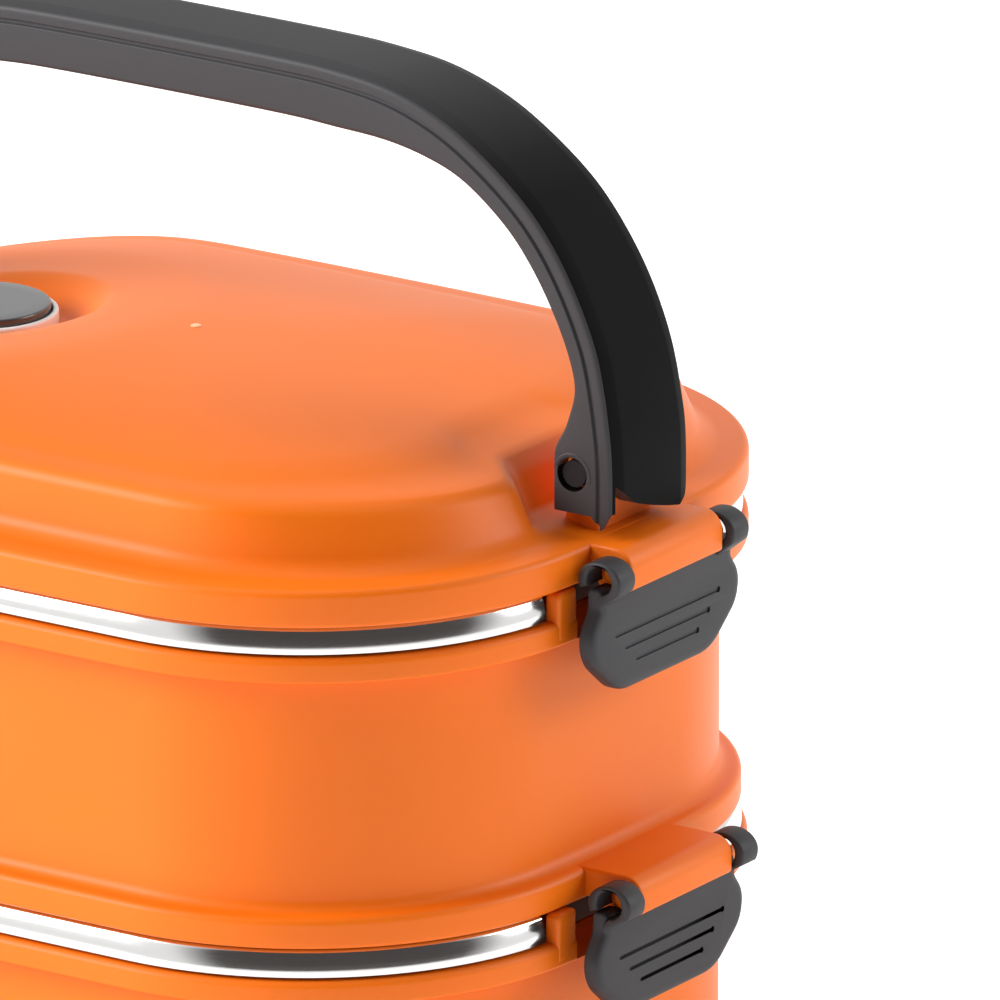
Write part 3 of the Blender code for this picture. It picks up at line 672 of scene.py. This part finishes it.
def build_handle():
    """Handle strap with its two feet, and the raised ring round each pin."""
    rows = []
    for x, z, depth, half, nx, nz in strap(6):
        rows.append([(x + nx * t, y, LID + z + nz * t) for y, t in band_section(half, depth)])
    ob = piece("handle_strap", skin(rows), [FRAME, BAND_PAINTED_SHADING], "lid", ("handle_frame",))
    cutters = []
    for sx in (1.0, -1.0):
        # lower end of the outer band, deeper towards the back
        toe = rounded([(-8.3, -6.0, 0), (-8.3, 12.6, 0.2), (-7.2, 11.6, 0.6), (-4.0, 9.2, 4.0),
                       (0.0, 7.9, 6.0), (4.0, 6.8, 4.0), (6.6, 6.2, 1.0), (8.4, 7.0, 1.4), (9.3, 10.2, 0.4),
                       (12.0, 11.0, 0), (12.0, -6.0, 0), (-8.3, -6.0, 0)], 4)[:-1]
        shape = prism([(y, LID + z) for y, z in toe], "x", TOE_X, A + 8.0)
        cutters.append(at_end(shape, sx))
        bore = arc(PIN_X, LID + PIN_Z, BORE_R, 0.0, 348.75, 31)
        shape = prism(bore, "y", -14.0, 14.0)
        cutters.append(at_end(shape, sx))
        # level lower end of the side flanges
        heel = [(A - 12.0, 0.0), (TOE_X, 0.0), (TOE_X, 8.0), (A - 12.0, 8.0)]
        shape = prism([(x, LID + z) for x, z in heel], "y", -14.0, 14.0)
        cutters.append(at_end(shape, sx))
        # rising corner between the front flange and the band
        tip = [(PIN_X + 3.0, 0.0), (A + 6.0, 0.0), (A + 6.0, 9.6), (A + 1.3, 8.6), (A, 6.3),
               (PIN_X + 3.0, 8.0)]
        shape = prism([(x, LID + z) for x, z in tip], "y", -14.0, -8.25)
        cutters.append(at_end(shape, sx))
    carve(ob, cutters)
    # the faces that look outwards and up get the band's material
    for poly in ob.data.polygons:
        normal = poly.normal
        outwards = abs(normal.x) if normal.x * poly.center.x > 0 else -abs(normal.x)
        poly.material_index = 1 if abs(normal.y) < 0.5 and normal.z + outwards > 0.55 else 0
    for sx, side in ((1.0, "right"), (-1.0, "left")):
        for sy, face in ((-1.0, "front"), (1.0, "back")):
            # an open ring: its cross-section, carried along an arc
            section = rounded([(2.4, -0.3, 0), (2.45, 0.16, 0.1), (2.95, 0.16, 0.15), (3.2, -0.3, 0)], 3)
            rows = []
            for a in np.linspace(math.radians(-15), math.radians(160), 32):
                rows.append([(sx * (PIN_X + r * math.cos(a)), sy * (9.1 + d), LID + PIN_Z + r * math.sin(a))
                             for r, d in section])
            piece("pin_ring_%s_%s" % (side, face), skin(rows), [FRAME], "lid")


build_handle()


# ---- latches --------------------------------------------------------------------
def flap_outline():
    """Front view: shoulders sweeping down from the hooks, broad rounded lower corners."""
    right = rounded([(0.0, -15.0, 0), (11.0, -15.0, 7.0), (17.4, -9.6, 5.0), (18.0, -5.6, 4.5),
                     (15.75, -2.6, 2.4), (HOOK_OUT, 0.3, 0.5), (11.75, 0.3, 0.3),
                     (HOOK_IN, FLAP_TOP, 0.15), (0.0, FLAP_TOP, 0)], 7)
    left = [(-y, z) for y, z in reversed(right)][1:-1]
    return right + left


def build_latch(name, node_name, body, base, sx):
    """Snap latch: a flap with three grooves, and the two hooks it hangs by."""
    ax = abs(AXLE[body][0])
    az = base + AXLE_Z
    outset = max(0.0, ax - A - 4.0)         # only the tier latches' hooks stand further out
    x0 = ax - 1.8 - 0.5 * outset            # inner and outer face of the flap
    x1 = x0 + FLAP_THICK
    flap = [(y, base + z) for y, z in flap_outline()]
    # distance from the middle and inset of each row; the outer face has a broad rounded rim
    rows = [(x0, 0.35), (x0 + 0.35, 0.0), (x1 - 0.95, 0.0), (x1 - 0.6, 0.1), (x1 - 0.3, 0.35),
            (x1 - 0.1, 0.75), (x1, 1.4)]
    parts = [flap_rows(flap, rows)]
    hook = [(ax + 3.4 * math.cos(t), az + (2.65 if math.sin(t) > 0 else 3.2) * math.sin(t))
            for t in np.radians(np.linspace(205.0, -28.0, 27))]
    hook += [(x1 - 0.15, az - 3.6), (x1 - 0.3, az - 6.5), (x0 + 0.5, az - 6.5), (x0 + 0.3, az - 4.4),
             (ax - 0.9, az - 2.6)]
    hook += arc(ax, az, 1.95, -95.0, 205.0, 24)
    for sy in (1.0, -1.0):
        low, high = sorted((sy * HOOK_IN, sy * HOOK_OUT))
        parts.append(prism(hook, "y", low, high, 0.4, 3))
    ob = piece(name, at_end(merged(*parts), sx), [LATCH], body, (node_name,), 44.0)
    cutters = []
    for k, half in enumerate(GROOVES):
        z = base + GROOVE_TOP - GROOVE_STEP * k
        groove = arc(half, z, GROOVE_R, -90.0, 90.0, 6) + arc(-half, z, GROOVE_R, 90.0, 270.0, 6)
        cutters.append(prism(groove, "x", x1 - GROOVE_DEEP, x1 + 2.0))
        dot = arc(half, z, DOT_R, 0.0, 330.0, 11)
        cutters.append(prism(dot, "x", x1 - DOT_DEEP, x1 + 2.0))
    carve(ob, [at_end(cutter, sx) for cutter in cutters], 44.0)


def flap_rows(outline, rows):
    """Rows of the flap's outline, each at its own depth and inset."""
    pts = np.array(outline, float)
    prev, after = np.roll(pts, 1, 0), np.roll(pts, -1, 0)
    t = after - prev
    t /= np.linalg.norm(t, axis=1, keepdims=True)
    area = 0.5 * np.sum(pts[:, 0] * after[:, 1] - after[:, 0] * pts[:, 1])
    n = np.stack([t[:, 1], -t[:, 0]], 1) * np.sign(area)
    # the upper edge, under the hinge tab, is rounded less than the rest
    upper = (pts[:, 1] > pts[:, 1].max() - 1.4) & (np.abs(pts[:, 0]) < 11.65)
    ease = np.where(upper, 0.2, 1.0).reshape(-1, 1)
    return skin([[(x, y, z) for y, z in pts - n * inset * ease] for x, inset in rows])


for sx, side in ((1.0, "right"), (-1.0, "left")):
    for part, base in (("lid", LID), ("tier", MID)):
        build_latch("%s_latch_clip_%s" % (part, side), "latch_%s_%s" % (part, side),
                    "%s_latch_%s" % (part, side), base, sx)

# ---- materials of the CAD pieces that are not replaced ----------------------------
KEPT = {
    "lower_base_plate": ORANGE,
    "upper_base_plate": ORANGE,
    "upper_seal_ring": SILICONE,
    "lid_seal_ring": SILICONE,
    "lid_inner_plate": WHITE,
    "valve_plug": SILICONE,
    "handle_filler": FRAME,
    "handle_pin_right": PIN,
    "handle_pin_left": PIN,
}
for name, mat in KEPT.items():
    ob = frame["nodes"][name]
    ob.data.materials.clear()
    ob.data.materials.append(mat)

# ---- camera -----------------------------------------------------------------------
cam_data = bpy.data.cameras.new("camera")
cam = bpy.data.objects.new("camera", cam_data)
bpy.context.scene.collection.objects.link(cam)
cam.location = CAMERA_AT
cam.rotation_mode = "QUATERNION"
cam.rotation_quaternion = CAMERA_WAY.to_track_quat("-Z", "Y")
cam_data.sensor_width = 36.0
cam_data.lens = CAMERA_LENS
cam_data.clip_start = 0.05
cam_data.clip_end = 50.0
bpy.context.scene.camera = cam

# ---- floor and light ---------------------------------------------------------------
bpy.ops.mesh.primitive_plane_add(size=40.0, location=(0, 0, 0))
floor = bpy.context.object
floor.name = "floor"
floor_mat = bpy.data.materials.new("floor")
floor_mat.use_nodes = True
shader(floor_mat).inputs["Base Color"].default_value = (FLOOR_GREY, FLOOR_GREY, FLOOR_GREY, 1.0)
shader(floor_mat).inputs["Roughness"].default_value = 0.7
shader(floor_mat).inputs["Emission Color"].default_value = (1.0, 1.0, 1.0, 1.0)
shader(floor_mat).inputs["Emission Strength"].default_value = FLOOR_GLOW
floor.data.materials.append(floor_mat)

# white studio, darker towards one side
world = bpy.data.worlds.new("studio")
bpy.context.scene.world = world
world.use_nodes = True
tree = world.node_tree
back = tree.nodes["Background"]
back.inputs["Strength"].default_value = 1.0
coord = tree.nodes.new("ShaderNodeTexCoord")
dot = tree.nodes.new("ShaderNodeVectorMath")
dot.operation = "DOT_PRODUCT"
dot.inputs[1].default_value = Vector((math.cos(DARK_AZIMUTH), math.sin(DARK_AZIMUTH), DARK_RISE)).normalized()
tree.links.new(coord.outputs["Generated"], dot.inputs[0])
ramp = tree.nodes.new("ShaderNodeValToRGB")
ramp.color_ramp.elements[0].position = DARK_BEGINS
ramp.color_ramp.elements[0].color = (1.0, 1.0, 1.0, 1.0)
ramp.color_ramp.elements[1].position = DARK_FULL
ramp.color_ramp.elements[1].color = DARK_COLOUR
tree.links.new(dot.outputs["Value"], ramp.inputs["Fac"])
tree.links.new(ramp.outputs["Color"], back.inputs["Color"])


def softbox(name, place, size, power):
    """Square area light aimed at the middle of the carrier; metres and watts."""
    light = bpy.data.lights.new(name, "AREA")
    light.shape = "RECTANGLE"
    light.size = size
    light.size_y = size
    light.energy = power
    lamp = bpy.data.objects.new(name, light)
    bpy.context.scene.collection.objects.link(lamp)
    lamp.location = place
    lamp.rotation_mode = "QUATERNION"
    lamp.rotation_quaternion = (LIGHTS_AIM - Vector(place)).to_track_quat("-Z", "Y")


softbox("key", (-1.2, -1.0, 0.9), 1.0, 38)
softbox("rear", (1.3, 0.9, 0.8), 0.8, 10)
bpy.context.scene.view_settings.view_transform = "Standard"
